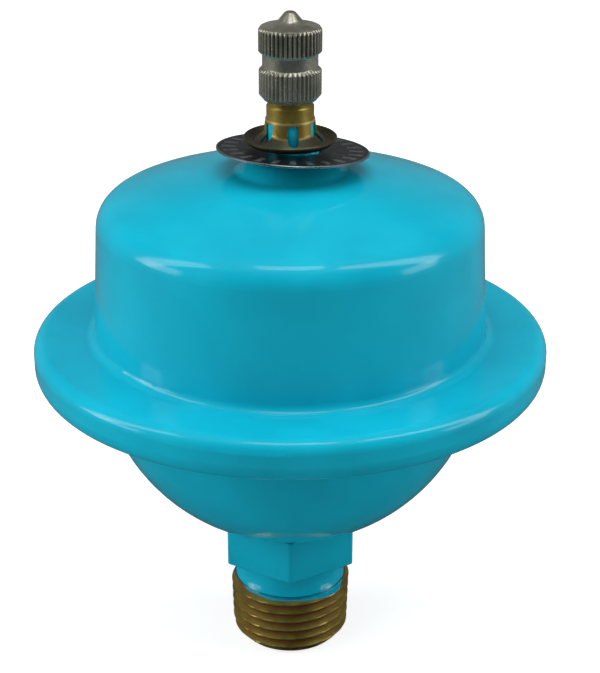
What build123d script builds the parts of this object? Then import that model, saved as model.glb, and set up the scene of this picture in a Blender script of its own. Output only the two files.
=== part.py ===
from build123d import *
import math
import os

# A water hammer arrestor: a pressed steel vessel with a rubber diaphragm clamped in its rolled
# flange, a hexagon pipe fitting below and a capped gas valve on top.
# Millimetres, +Z up. The origin is the centre of the pipe thread's end face.

# Gaps between pieces
fit_gap = 0.05         # between pieces that are assembled once
thread_gap = 0.08      # between a screwed piece and what it turns on
loose_gap = 0.17       # under a piece that lies loose
seat_gap = 0.3         # between the diaphragm's button and the port that it closes

# Port fitting, with a taper pipe thread of 14 threads to the inch
thread_length = 11.7
thread_end_radius = 10.36
thread_taper = 1 / 32          # growth of the radius per length
thread_lead_length = 1.9
thread_lead_depth = 1.6
thread_runout = 0.3            # from the last crest to the neck
neck_radius = 9.05
neck_length = 5.2
hex_flats = 22.225
hex_height = 8.7
hex_chamfer_angle = 30
port_radius = 6.5
port_chamfer = 0.5
spigot_radius = 8.0
swage_radius = 9.6
swage_height = 1.0
port_washer_radius = 11.4
port_washer_thickness = 1.0
port_washer_bevel = 0.2
o_ring_radius = 9.7            # of the ring's centre line
o_ring_groove_width = 1.7
o_ring_groove_depth = 1.3

# Pressed steel vessel
sheet = 1.2
bowl_radius = 33.0
bowl_seat_radius = 12.98       # of the flat pressed in the bowl's bottom
bowl_seat_bend = 2.0
bowl_rim_bend = 1.5
bowl_flange_drop = 1.64        # of the flange's underside below the bowl's centre
liner_thickness = 1.2
flange_width = 10.67           # beyond the bowl's radius
flange_top_bend = 2.1
flange_bottom_bend = 3.1
lip_gap = 3.47                 # between the bowl and the edge folded under
wall_step = 0.4                # of the wall's root beyond the bowl's radius
wall_draft = 1.28              # from the wall's root in to where it would meet the crown
wall_root_bend = 1.5
shoulder_bend = 4.53
crown_radius = 85.0
crown_height = 28.65           # of the crown's middle above the flange
boss_height = 1.85             # of the valve boss above the crown's middle
boss_radius = 6.5
boss_foot_radius = 9.0
boss_bend = 1.8

# Diaphragm and its button
diaphragm_thickness = 1.6
bead_thickness = 2.4
bead_width = 5.0
button_radius = 9.4
button_thickness = 1.5
button_neck_radius = 2.5
button_head_radius = 4.0
button_head_height = 1.8
button_bevel = 0.5
drape_width = 5.6              # over which the diaphragm comes down from the button

# Gas valve stem
stem_radius = 3.9
stem_head_radius = 5.8
stem_head_thickness = 1.4
stem_gasket_radius = 5.5
stem_gasket_thickness = 1.0
stem_bead_radius = 4.75
stem_bead_height = 0.95
stem_bead_bend = 0.4
stem_plain_length = 8.15       # from the bead to the thread's shoulder
stem_thread_radius = 3.62      # half way up the thread
stem_thread_length = 9.3
stem_bore_radius = 1.95
stem_top_bore_radius = 2.65
stem_bore_seat_depth = 7.3     # from the stem's top to the foot of the bore's cone
stem_bore_seat_height = 1.1
stem_chamfer = 0.3

# Loose tag disc, which leans on the stem's bead and on the boss
disc_radius = 12.65
disc_hole_radius = 5.15
disc_thickness = 0.4
disc_bevel = 0.1
disc_shift = 0.85              # off the stem's axis, towards its low side
disc_low_azimuth = 59          # from +X towards +Y

# Slotted push-on retainer
retainer_rise = 1.45           # of its underside above the bead
retainer_height = 4.15
retainer_radius = 7.67
retainer_foot_radius = 6.0     # of the flat bottom, inside and outside
retainer_valley_radius = 6.95
retainer_rim_rise = 0.75
retainer_thickness = 0.4
retainer_tip_thickness = 0.15
retainer_flare_height = 1.55
retainer_bend = 0.8
slot_count = 6
slot_width = 1.75
slot_reach = 5.75              # radius of the slots' outer ends
slot_land = 0.5                # ring left above the slots
slot_azimuth = -84

# Valve cap
cap_bore_depth = 9.8
cap_mouth_radius = 4.15
cap_mouth_chamfer = 0.3
cap_lower_radius = 5.09
cap_upper_radius = 5.15
cap_waist_radius = 4.53
cap_top_radius = 4.84
cap_lead_height = 0.95
cap_lower_band = 3.9
cap_waist_chamfer = 0.55
cap_waist_height = 2.0
cap_upper_band = 3.35
cap_top_chamfer = 0.5
cap_nib_radius = 2.2           # where the nib rises from the top
cap_nib_foot_height = 0.72
cap_nib_foot_bend = 1.5
cap_nib_tip_radius = 0.75
cap_nib_height = 2.47
cap_nib_tip_bend = 0.9
cap_edge_width = 0.35
knurl_teeth = 42
knurl_depth = 0.26
cap_seal_thickness = 1.0
cap_seal_hole_radius = 1.2

# Valve core
core_recess = 0.3              # of the plug below the stem's top
plug_radius = 2.6
plug_thread_length = 2.4
plug_bridge_height = 1.3
plug_bridge_radius = 1.9
plug_bridge_width = 1.9
pin_hole_radius = 0.85
barrel_radius = 1.75
barrel_bore_radius = 1.35
barrel_length = 7.6
barrel_ledge = 0.8
gasket_radius = 2.5
gasket_height = 1.6
pin_radius = 0.55
pin_collar_radius = 1.2
pin_collar_height = 0.6
pin_collar_depth = 1.0         # below the plug
pin_rivet_radius = 0.9
pin_rivet_height = 0.5
cup_radius = 1.65
cup_height = 1.5
cup_seal_radius = 1.28
cup_seal_thickness = 1.0
spring_wire_radius = 0.15
spring_radius = 0.97           # of the wire's centre line
spring_turns = 7
spring_wire_sides = 6          # the fine wire is drawn six-sided

# Heights that follow, from the end face up
hex_bottom = thread_length + neck_length
hex_top = hex_bottom + hex_height
bowl_centre = hex_top + math.sqrt(bowl_radius**2 - bowl_seat_radius**2)
bowl_flange_bottom = bowl_centre - bowl_flange_drop
bowl_flange_top = bowl_flange_bottom + sheet
liner_flange_top = bowl_flange_top + liner_thickness
bead_top = liner_flange_top + bead_thickness
flange_top = bead_top + sheet
lip_bottom = bowl_flange_bottom - sheet
crown_top = flange_top + crown_height
boss_top = crown_top + boss_height
boss_underside = boss_top - sheet
port_washer_bottom = hex_top + sheet + liner_thickness
port_washer_top = port_washer_bottom + port_washer_thickness
port_top = port_washer_top + swage_height
button_bottom = port_top + seat_gap
button_top = button_bottom + button_thickness
diaphragm_bottom = button_top + fit_gap
stem_head_top = boss_underside - stem_gasket_thickness
stem_head_bottom = stem_head_top - stem_head_thickness
stem_bead_top = boss_top + stem_bead_height
stem_shoulder = stem_bead_top + stem_plain_length
stem_top = stem_shoulder + stem_thread_length
bore_seat_bottom = stem_top - stem_bore_seat_depth
bore_seat_top = bore_seat_bottom + stem_bore_seat_height
retainer_bottom = stem_bead_top + retainer_rise
cap_seal_bottom = stem_top + fit_gap
cap_ceiling = cap_seal_bottom + cap_seal_thickness
cap_bottom = cap_ceiling - cap_bore_depth
plug_top = stem_top - core_recess
plug_shoulder = plug_top - plug_bridge_height
plug_bottom = plug_shoulder - plug_thread_length
barrel_bottom = plug_bottom - barrel_length
ledge_top = barrel_bottom + barrel_ledge
collar_top = plug_bottom - pin_collar_depth
collar_bottom = collar_top - pin_collar_height
cup_top = barrel_bottom - fit_gap
cup_bottom = cup_top - cup_height
rivet_bottom = cup_bottom - pin_rivet_height

# Radii that follow
flange_radius = bowl_radius + flange_width
lip_radius = bowl_radius + lip_gap
wall_base_radius = bowl_radius + wall_step
wall_top_radius = wall_base_radius - wall_draft
clamp_top_radius = flange_radius - flange_top_bend - fit_gap
clamp_bottom_radius = flange_radius - flange_bottom_bend - fit_gap
liner_radius = bowl_radius - sheet - fit_gap
diaphragm_radius = liner_radius - liner_thickness - fit_gap
cap_bore_radius = stem_thread_radius + thread_gap


def turned(*corners):
    """Turn a closed section about Z. A corner is a radius, a height and perhaps a rounding."""
    points = [corner[:2] for corner in corners]
    roundings = [corner[2] if len(corner) > 2 else 0 for corner in corners]
    section = make_face(FilletPolyline(*points, radius=roundings, close=True))
    return revolve(Plane.XZ * section, Axis.Z)


def ring(inner, outer, bottom, top):
    """A plain ring about Z."""
    return turned((inner, bottom), (outer, bottom), (outer, top), (inner, top))


def bevelled_ring(inner, outer, bottom, top, bevel):
    """A ring about Z with its outer edges bevelled."""
    return turned(
        (inner, bottom),
        (outer - bevel, bottom),
        (outer, bottom + bevel),
        (outer, top - bevel),
        (outer - bevel, top),
        (inner, top),
    )


def bend(path, corner, radius):
    """Round the corner of a path that lies at this radius and height."""
    nearest = path.vertices().sort_by_distance((*corner, 0))[0]
    fillet(nearest, radius)


def pressed(path, thickness):
    """Thicken a path towards its left and turn it about Z, as a pressed or moulded shell."""
    section = make_face(offset(path.line, amount=thickness, side=Side.LEFT))
    return revolve(Plane.XZ * section, Axis.Z)


def sphere_radius_at(radius, centre, height):
    """The radius at which a sphere about the axis reaches a height."""
    return math.sqrt(radius**2 - (height - centre) ** 2)


def sphere_height_at(radius, centre, at_radius):
    """The height of a sphere's lower half at a radius."""
    return centre - math.sqrt(radius**2 - at_radius**2)


def bowl_path(radius, bottom, flange_bottom, edge_radius, rim_bend, hole_radius):
    """The outer line of a bowl with a flat bottom and a flange."""
    seat = (sphere_radius_at(radius, bowl_centre, bottom), bottom)
    rim = (sphere_radius_at(radius, bowl_centre, flange_bottom), flange_bottom)
    with BuildLine() as path:
        Line((hole_radius, bottom), seat)
        RadiusArc(seat, rim, -radius)
        Line(rim, (edge_radius, flange_bottom))
        bend(path, seat, bowl_seat_bend)
        bend(path, rim, rim_bend)
    return path


def port_fitting():
    """Hexagon fitting with a taper pipe thread, its spigot swaged over inside the bowl."""
    thread_top_radius = thread_end_radius + thread_length * thread_taper
    lead_radius = thread_end_radius + thread_lead_length * thread_taper
    hex_corner = hex_flats / math.sqrt(3)
    hex_chamfer = (hex_corner - hex_flats / 2) * math.tan(math.radians(hex_chamfer_angle))
    shank = turned(
        (0, 0),
        (thread_end_radius - thread_lead_depth, 0),
        (lead_radius, thread_lead_length),
        (thread_top_radius, thread_length),
        (neck_radius, thread_length + thread_runout),
        (neck_radius, hex_bottom),
        (spigot_radius, hex_bottom),
        (spigot_radius, port_washer_top),
        (swage_radius, port_washer_top),
        (swage_radius, port_top - swage_height / 2),
        (swage_radius - swage_height, port_top),
        (0, port_top),
    )
    prism = Pos(0, 0, hex_bottom) * extrude(
        RegularPolygon(hex_flats / 2, 6, major_radius=False, rotation=30), hex_height
    )
    chamfering = turned(
        (0, hex_bottom),
        (hex_corner, hex_bottom),
        (hex_corner, hex_top - hex_chamfer),
        (hex_flats / 2, hex_top),
        (0, hex_top),
    )
    groove_half = o_ring_groove_width / 2
    groove = ring(
        o_ring_radius - groove_half,
        o_ring_radius + groove_half,
        hex_top - o_ring_groove_depth,
        hex_top + fit_gap,
    )
    passage = turned(
        (0, 0),
        (port_radius + port_chamfer, 0),
        (port_radius, port_chamfer),
        (port_radius, port_top - port_chamfer),
        (port_radius + port_chamfer, port_top),
        (0, port_top),
    )
    return shank + (prism & chamfering) - groove - passage


def port_o_ring():
    """Sealing ring that fills the groove between the hexagon and the bowl."""
    section_radius = o_ring_groove_depth / 2 - fit_gap / 2
    height = hex_top - o_ring_groove_depth / 2
    return Pos(0, 0, height) * Torus(o_ring_radius, section_radius)


def port_washer():
    """Flat washer that the swaged spigot presses on the liner."""
    return bevelled_ring(
        spigot_radius + fit_gap,
        port_washer_radius,
        port_washer_bottom,
        port_washer_top,
        port_washer_bevel,
    )


def lower_shell():
    """Pressed steel bowl with a flat seat for the hexagon."""
    path = bowl_path(
        bowl_radius,
        hex_top,
        bowl_flange_bottom,
        clamp_bottom_radius,
        bowl_rim_bend,
        spigot_radius + fit_gap,
    )
    return pressed(path, sheet)


def bowl_liner():
    """Moulded plastic liner that keeps the water off the steel bowl."""
    path = bowl_path(
        liner_radius,
        hex_top + sheet,
        bowl_flange_top,
        clamp_bottom_radius,
        bowl_rim_bend + sheet + fit_gap,
        spigot_radius + fit_gap,
    )
    return pressed(path, liner_thickness)


def upper_shell():
    """Pressed steel cover whose edge is rolled round the clamped pieces."""
    crown_centre = crown_top - crown_radius
    boss_foot = (boss_foot_radius, crown_centre + sphere_radius_at(crown_radius, 0, boss_foot_radius))
    shoulder = (wall_top_radius, crown_centre + sphere_radius_at(crown_radius, 0, wall_top_radius))
    boss_edge = (boss_radius, boss_top)
    root = (wall_base_radius, flange_top)
    flange_edge = (flange_radius, flange_top)
    lip_edge = (flange_radius, lip_bottom)
    with BuildLine() as path:
        Polyline((lip_radius, lip_bottom), lip_edge, flange_edge, root, shoulder)
        RadiusArc(shoulder, boss_foot, -crown_radius)
        Polyline(boss_foot, boss_edge, (stem_radius + fit_gap, boss_top))
        bend(path, lip_edge, flange_bottom_bend)
        bend(path, flange_edge, flange_top_bend)
        bend(path, root, wall_root_bend)
        bend(path, shoulder, shoulder_bend)
        bend(path, boss_foot, boss_bend)
        bend(path, boss_edge, boss_bend)
    return pressed(path, sheet)


def diaphragm():
    """Rubber diaphragm at rest: pressed into the bowl, draped over its button."""
    button_edge = (button_radius, diaphragm_bottom)
    drape_radius = button_radius + drape_width
    landing = (drape_radius, sphere_height_at(diaphragm_radius, bowl_centre, drape_radius))
    rim_height = liner_flange_top
    rim = (sphere_radius_at(diaphragm_radius, bowl_centre, rim_height), rim_height)
    rim_bend = bowl_rim_bend + sheet + liner_thickness + 2 * fit_gap
    with BuildLine() as path:
        Polyline((button_neck_radius + fit_gap, diaphragm_bottom), button_edge, landing)
        RadiusArc(landing, rim, -diaphragm_radius)
        Line(rim, (clamp_top_radius, rim_height))
        bend(path, button_edge, bowl_seat_bend)
        bend(path, landing, bowl_seat_bend)
        bend(path, rim, rim_bend)
    bead = ring(clamp_top_radius - bead_width, clamp_top_radius, liner_flange_top, bead_top)
    return pressed(path, diaphragm_thickness) + bead


def diaphragm_button():
    """Button pushed through the diaphragm's middle, which covers the port at rest."""
    neck_top = diaphragm_bottom + diaphragm_thickness + fit_gap
    return turned(
        (0, button_bottom),
        (button_radius - button_bevel, button_bottom),
        (button_radius, button_bottom + button_bevel),
        (button_radius, button_top),
        (button_neck_radius, button_top),
        (button_neck_radius, neck_top),
        (button_head_radius, neck_top),
        (button_neck_radius, neck_top + button_head_height),
        (0, neck_top + button_head_height),
    )


def valve_stem():
    """Brass stem, headed inside the cover and swaged to a bead outside it."""
    body = turned(
        (0, stem_head_bottom),
        (stem_head_radius, stem_head_bottom),
        (stem_head_radius, stem_head_top),
        (stem_radius, stem_head_top),
        (stem_radius, boss_top),
        (stem_bead_radius, boss_top),
        (stem_bead_radius, stem_bead_top, stem_bead_bend),
        (stem_radius, stem_bead_top),
        (stem_radius, stem_shoulder - stem_chamfer),
        (stem_thread_radius, stem_shoulder),
        (stem_thread_radius, stem_top - stem_chamfer),
        (stem_thread_radius - stem_chamfer, stem_top),
        (0, stem_top),
    )
    bore = turned(
        (0, stem_head_bottom),
        (stem_bore_radius, stem_head_bottom),
        (stem_bore_radius, bore_seat_bottom),
        (stem_top_bore_radius, bore_seat_top),
        (stem_top_bore_radius, stem_top),
        (0, stem_top),
    )
    return body - bore


def stem_gasket():
    """Rubber washer between the stem's head and the boss."""
    return ring(stem_radius + fit_gap, stem_gasket_radius, stem_head_top, boss_underside)


def disc_plane():
    """The middle plane of the tag disc, which rests on the bead and on the boss's edge."""
    span = disc_hole_radius + boss_radius - disc_shift
    lean = math.asin(stem_bead_height / span)
    azimuth = math.radians(disc_low_azimuth)
    side = Vector(math.cos(azimuth), math.sin(azimuth), 0)
    underside = stem_bead_top + loose_gap - disc_hole_radius * math.sin(lean)
    centre = side * disc_shift + Vector(0, 0, underside + disc_thickness / 2)
    return Plane(origin=centre, z_dir=side * math.sin(lean) + Vector(0, 0, math.cos(lean)))


def tag_disc():
    """Loose metal disc round the stem, for the words that such a tag carries."""
    half = disc_thickness / 2
    disc = bevelled_ring(disc_hole_radius, disc_radius, -half, half, disc_bevel)
    return disc_plane() * disc


def stem_retainer():
    """Dished spring washer pushed on the stem, slotted so that its collar grips."""
    inner = stem_radius + fit_gap / 2
    top = retainer_bottom + retainer_height
    flare_bottom = retainer_bottom + retainer_flare_height
    valley_top = retainer_bottom + retainer_thickness
    edge_top = valley_top + retainer_rim_rise
    washer = turned(
        (inner, top),
        (inner, flare_bottom, retainer_bend),
        (retainer_foot_radius, retainer_bottom, retainer_bend),
        (retainer_valley_radius, retainer_bottom, retainer_bend / 2),
        (retainer_radius, retainer_bottom + retainer_rim_rise),
        (retainer_radius, edge_top - retainer_tip_thickness),
        (retainer_radius - retainer_tip_thickness, edge_top),
        (retainer_valley_radius - retainer_tip_thickness, valley_top, retainer_bend / 2),
        (retainer_foot_radius + retainer_tip_thickness, valley_top, retainer_bend / 2),
        (inner + retainer_thickness, flare_bottom + retainer_thickness / 2, retainer_bend),
        (inner + retainer_tip_thickness, top),
    )
    slot_top = top - slot_land
    slot = Pos(slot_reach / 2, 0, 0) * SlotOverall(slot_reach, slot_width)
    cutter = Pos(0, 0, retainer_bottom) * extrude(slot, slot_top - retainer_bottom)
    for index in range(slot_count):
        washer -= Rot(0, 0, slot_azimuth + index * 360 / slot_count) * cutter
    return washer


def knurl_prism(radius, bottom, top):
    """A prism with V-shaped teeth round its edge."""
    step = math.pi / knurl_teeth
    outline = [
        Vector(1, 0).rotate(Axis.Z, math.degrees(index * step))
        * (radius - knurl_depth * (index % 2))
        for index in range(2 * knurl_teeth)
    ]
    return Pos(0, 0, bottom) * extrude(make_face(Polyline(*outline, close=True)), top - bottom)


def valve_cap():
    """Turned cap with two straight-knurled bands and a pointed nib."""
    lower_start = cap_bottom + cap_lead_height
    lower_end = lower_start + cap_lower_band
    waist_start = lower_end + cap_waist_chamfer
    waist_end = waist_start + cap_waist_height
    upper_start = waist_end + cap_waist_chamfer
    upper_end = upper_start + cap_upper_band
    top = upper_end + cap_top_chamfer
    middle = (waist_start + waist_end) / 2
    blank = turned(
        (0, cap_bottom),
        (cap_mouth_radius, cap_bottom),
        (cap_lower_radius, lower_start),
        (cap_lower_radius, lower_end),
        (cap_waist_radius, waist_start),
        (cap_waist_radius, waist_end),
        (cap_upper_radius, upper_start),
        (cap_upper_radius, upper_end),
        (cap_top_radius, top),
        (cap_top_radius - cap_edge_width, top + cap_edge_width / 2),
        (cap_nib_radius, top + cap_nib_foot_height, cap_nib_foot_bend),
        (cap_nib_tip_radius, top + cap_nib_height, cap_nib_tip_bend),
        (0, top + cap_nib_height),
    )
    knurled = blank & (
        knurl_prism(cap_lower_radius, cap_bottom, middle)
        + knurl_prism(cap_upper_radius, middle, top + cap_nib_height)
    )
    bore = turned(
        (0, cap_bottom),
        (cap_bore_radius + cap_mouth_chamfer, cap_bottom),
        (cap_bore_radius, cap_bottom + cap_mouth_chamfer),
        (cap_bore_radius, cap_ceiling),
        (0, cap_ceiling),
    )
    return knurled - bore


def cap_seal():
    """Rubber washer in the cap, which seals on the stem's top."""
    return ring(
        cap_seal_hole_radius,
        cap_bore_radius - fit_gap,
        cap_seal_bottom,
        cap_ceiling - fit_gap / 2,
    )


def core_plug():
    """Screwed plug that holds the core, with a flat bridge for the key."""
    bridge = Pos(0, 0, plug_shoulder) * extrude(Circle(plug_bridge_radius), plug_bridge_height)
    flats = Pos(0, 0, plug_shoulder) * extrude(
        Rectangle(2 * plug_bridge_radius, plug_bridge_width), plug_bridge_height
    )
    thread = turned(
        (0, plug_bottom), (plug_radius, plug_bottom), (plug_radius, plug_shoulder), (0, plug_shoulder)
    )
    hole = turned(
        (0, plug_bottom), (pin_hole_radius, plug_bottom), (pin_hole_radius, plug_top), (0, plug_top)
    )
    return thread + (bridge & flats) - hole


def core_barrel():
    """Tube that carries the gasket and holds the spring on its ledge."""
    body = ring(barrel_bore_radius, barrel_radius, barrel_bottom, plug_bottom)
    return body + ring(pin_hole_radius, barrel_bore_radius, barrel_bottom, ledge_top)


def core_gasket():
    """Tapered seal between the barrel and the cone in the stem's bore."""
    inner = barrel_radius + fit_gap / 2
    seat_inner = stem_bore_radius - fit_gap
    return turned(
        (inner, bore_seat_bottom),
        (seat_inner, bore_seat_bottom),
        (gasket_radius, bore_seat_top),
        (gasket_radius, bore_seat_bottom + gasket_height),
        (inner, bore_seat_bottom + gasket_height),
    )


def core_pin():
    """Pin that opens the core when it is pressed, riveted below its cup."""
    return turned(
        (0, rivet_bottom),
        (pin_radius, rivet_bottom),
        (pin_rivet_radius, cup_bottom),
        (pin_radius, cup_bottom),
        (pin_radius, collar_bottom),
        (pin_collar_radius, collar_bottom),
        (pin_collar_radius, collar_top),
        (pin_radius, collar_top),
        (pin_radius, plug_top - pin_radius / 2),
        (pin_radius / 2, plug_top),
        (0, plug_top),
    )


def core_cup():
    """Metal cup on the pin's lower end."""
    inner = pin_radius + fit_gap
    seal_bottom = cup_top - cup_seal_thickness + fit_gap
    recess = cup_seal_radius + fit_gap
    return turned(
        (inner, cup_bottom),
        (cup_radius, cup_bottom),
        (cup_radius, cup_top),
        (recess, cup_top),
        (recess, seal_bottom),
        (inner, seal_bottom),
    )


def core_cup_seal():
    """Rubber ring in the cup, which closes the barrel's lower end."""
    return ring(
        pin_radius + fit_gap,
        cup_seal_radius,
        cup_top - cup_seal_thickness + fit_gap,
        barrel_bottom,
    )


def core_spring():
    """Coil spring between the barrel's ledge and the pin's collar."""
    start = ledge_top + spring_wire_radius
    rise = collar_bottom - spring_wire_radius - start
    path = Helix(rise / spring_turns, rise, spring_radius)
    wire = Plane(path @ 0, z_dir=path % 0) * RegularPolygon(spring_wire_radius, spring_wire_sides)
    return Pos(0, 0, start) * sweep(wire, path=path, is_frenet=True)


os.makedirs("parts", exist_ok=True)
makers = [
    port_fitting,
    port_o_ring,
    port_washer,
    lower_shell,
    bowl_liner,
    upper_shell,
    diaphragm,
    diaphragm_button,
    valve_stem,
    stem_gasket,
    tag_disc,
    stem_retainer,
    valve_cap,
    cap_seal,
    core_plug,
    core_barrel,
    core_gasket,
    core_pin,
    core_cup,
    core_cup_seal,
    core_spring,
]
for maker in makers:
    export_step(maker(), f"parts/{maker.__name__}.step")
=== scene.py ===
import logging
import math
from dataclasses import dataclass, field
from enum import Enum
from typing import Optional, Sequence, Union

import bpy
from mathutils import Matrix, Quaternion, Vector


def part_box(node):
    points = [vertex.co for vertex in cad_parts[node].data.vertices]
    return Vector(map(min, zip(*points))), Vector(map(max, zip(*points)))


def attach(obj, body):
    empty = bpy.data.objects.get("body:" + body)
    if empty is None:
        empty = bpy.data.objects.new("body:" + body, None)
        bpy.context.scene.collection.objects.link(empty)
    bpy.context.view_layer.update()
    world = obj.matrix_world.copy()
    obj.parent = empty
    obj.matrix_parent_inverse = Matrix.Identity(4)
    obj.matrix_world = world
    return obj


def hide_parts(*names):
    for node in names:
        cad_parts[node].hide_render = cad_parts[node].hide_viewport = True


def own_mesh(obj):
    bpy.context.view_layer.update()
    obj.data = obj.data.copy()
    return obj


# The looks of a water hammer arrestor: an enamelled steel vessel on a brass pipe fitting, with a
# capped gas valve, a slotted retainer and a loose printed disc on top. Sizes in the classes are
# millimetres, as on a drawing, and MM turns them to the frame's metres.

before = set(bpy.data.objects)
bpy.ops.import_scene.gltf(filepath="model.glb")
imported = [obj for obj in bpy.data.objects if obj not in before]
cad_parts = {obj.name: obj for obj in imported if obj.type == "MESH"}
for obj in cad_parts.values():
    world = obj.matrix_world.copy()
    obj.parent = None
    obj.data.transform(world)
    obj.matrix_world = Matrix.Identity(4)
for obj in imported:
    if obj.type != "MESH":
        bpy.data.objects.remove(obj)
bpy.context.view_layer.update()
LOG = logging.getLogger("arrestor")
MM = 0.001
CUT = "cut"
GROOVE = "groove"
SMOOTH_ANGLE = math.radians(38)

Linkable = Union[bpy.types.NodeSocket, bpy.types.Node]
Setting = Union[float, int, bool, str, tuple, bpy.types.Material, Linkable]


class Side(Enum):
    """The side of a wall that grooves are cut from."""

    OUTSIDE = 1
    INSIDE = -1


class Body(Enum):
    """The moving bodies that the pieces ride on."""

    VESSEL = "vessel"
    BUTTON = "button"
    TAG = "tag"
    CAP_LIFT = "cap_lift"
    CAP = "cap"
    CORE = "core"


class Graph:
    """A node tree that is written one node at a time."""

    def __init__(self, tree: bpy.types.NodeTree) -> None:
        """Take over a tree.

        Args:
            tree: the shader or geometry tree to write in.
        """
        self.tree = tree

    def add(
        self, kind: str, inputs: Optional[dict[Union[str, int], Setting]] = None, **settings: Setting
    ) -> bpy.types.Node:
        """Add a node with its settings, values and links.

        Args:
            kind: the node's type.
            inputs: for each input, by name or number, a constant or what is linked to it.
            settings: the node's own properties.

        Returns:
            The new node.
        """
        node = self.tree.nodes.new(kind)
        for name, value in settings.items():
            setattr(node, name, value)
        for key, value in (inputs or {}).items():
            if isinstance(key, int):
                socket = node.inputs[key]
            else:
                socket = next(s for s in node.inputs if s.enabled and s.name == key)
            if isinstance(value, bpy.types.Node):
                value = next(s for s in value.outputs if s.enabled)
            if isinstance(value, bpy.types.NodeSocket):
                self.tree.links.new(value, socket)
            else:
                socket.default_value = value
        return node


def linear(hex_colour: str) -> tuple[float, float, float, float]:
    """Turn an sRGB colour such as #0AB0CA to the linear values that sockets take."""
    channels = [int(hex_colour[i : i + 2], 16) / 255 for i in (1, 3, 5)]
    return (*((c / 12.92 if c <= 0.04045 else ((c + 0.055) / 1.055) ** 2.4) for c in channels), 1.0)


def per_metre(size: float) -> float:
    """The texture scale that gives a pattern features of this size in millimetres."""
    return 1 / (size * MM)


@dataclass(frozen=True)
class Surface:
    """What a finish gives at each point: colour, metallic share, roughness and relief."""

    colour: Linkable
    metallic: Setting
    roughness: Setting
    relief: Linkable
    relief_depth: float
    specular: float = 0.5


class Finish:
    """Something that an outside surface is finished with."""

    name = "finish"

    def surface(self, graph: Graph, place: Linkable) -> Surface:
        """Write the finish's pattern.

        Args:
            graph: the material's tree.
            place: the point's place in metres.

        Returns:
            The surface that the shader is fed with.
        """
        raise NotImplementedError

    def material(self) -> bpy.types.Material:
        """Make the finish's material, or return it where it is made already."""
        known = bpy.data.materials.get(self.name)
        if known:
            return known
        made = bpy.data.materials.new(self.name)
        made.use_nodes = True
        made.node_tree.nodes.clear()
        graph = Graph(made.node_tree)
        place = graph.add("ShaderNodeTexCoord").outputs["Object"]
        found = self.surface(graph, place)
        bump = graph.add(
            "ShaderNodeBump", {"Strength": 1.0, "Distance": found.relief_depth * MM, "Height": found.relief}
        )
        shader = graph.add(
            "ShaderNodeBsdfPrincipled",
            {
                "Base Color": found.colour,
                "Metallic": found.metallic,
                "Roughness": found.roughness,
                "Specular IOR Level": found.specular,
                "Normal": bump,
            },
        )
        graph.add("ShaderNodeOutputMaterial", {"Surface": shader})
        return made


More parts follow.
